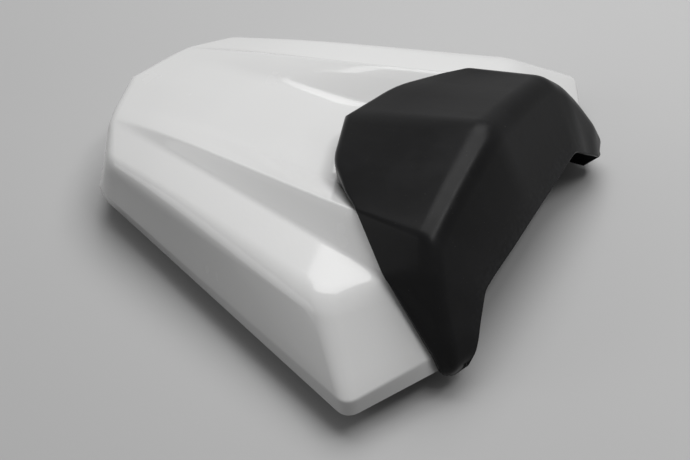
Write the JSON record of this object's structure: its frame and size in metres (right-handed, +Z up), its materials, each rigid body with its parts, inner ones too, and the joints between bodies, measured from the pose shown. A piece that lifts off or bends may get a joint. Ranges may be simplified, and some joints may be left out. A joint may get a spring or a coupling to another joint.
{
  "type": "seat cowl",
  "caption": "Motorbike seat cowl: a tapering painted shell with raised ridges, a black arched hood across its front, and a tray with striker and dampers below.",
  "frame": {"origin": "middle of the footprint on the surface that the dampers stand on", "axes": "+X across the cowl, +Y towards the tail, so -Y is the front with the hood, +Z up"},
  "size_m": [0.259, 0.258, 0.0857],
  "materials": {
    "white_paint": "gloss white paint on moulded plastic",
    "black_satin": "satin black moulded plastic",
    "tray_black": "fine-grained black moulded plastic",
    "zinc_steel": "zinc-plated steel",
    "damper_rubber": "matt black rubber",
    "dark_screw": "black zinc-plated steel"
  },
  "bodies": {
    "root": {"cowl_shell": "white_paint", "front_hood": "black_satin", "base_tray": "tray_black", "striker_loop": "zinc_steel", "striker_plate": "zinc_steel", "striker_washers": "zinc_steel", "striker_nuts": "zinc_steel", "front_dampers": "damper_rubber", "rear_dampers": "damper_rubber", "tray_screws": "dark_screw", "tray_washers": "dark_screw", "hood_screws": "dark_screw", "hood_washers": "dark_screw"}
  },
  "joints": []
}
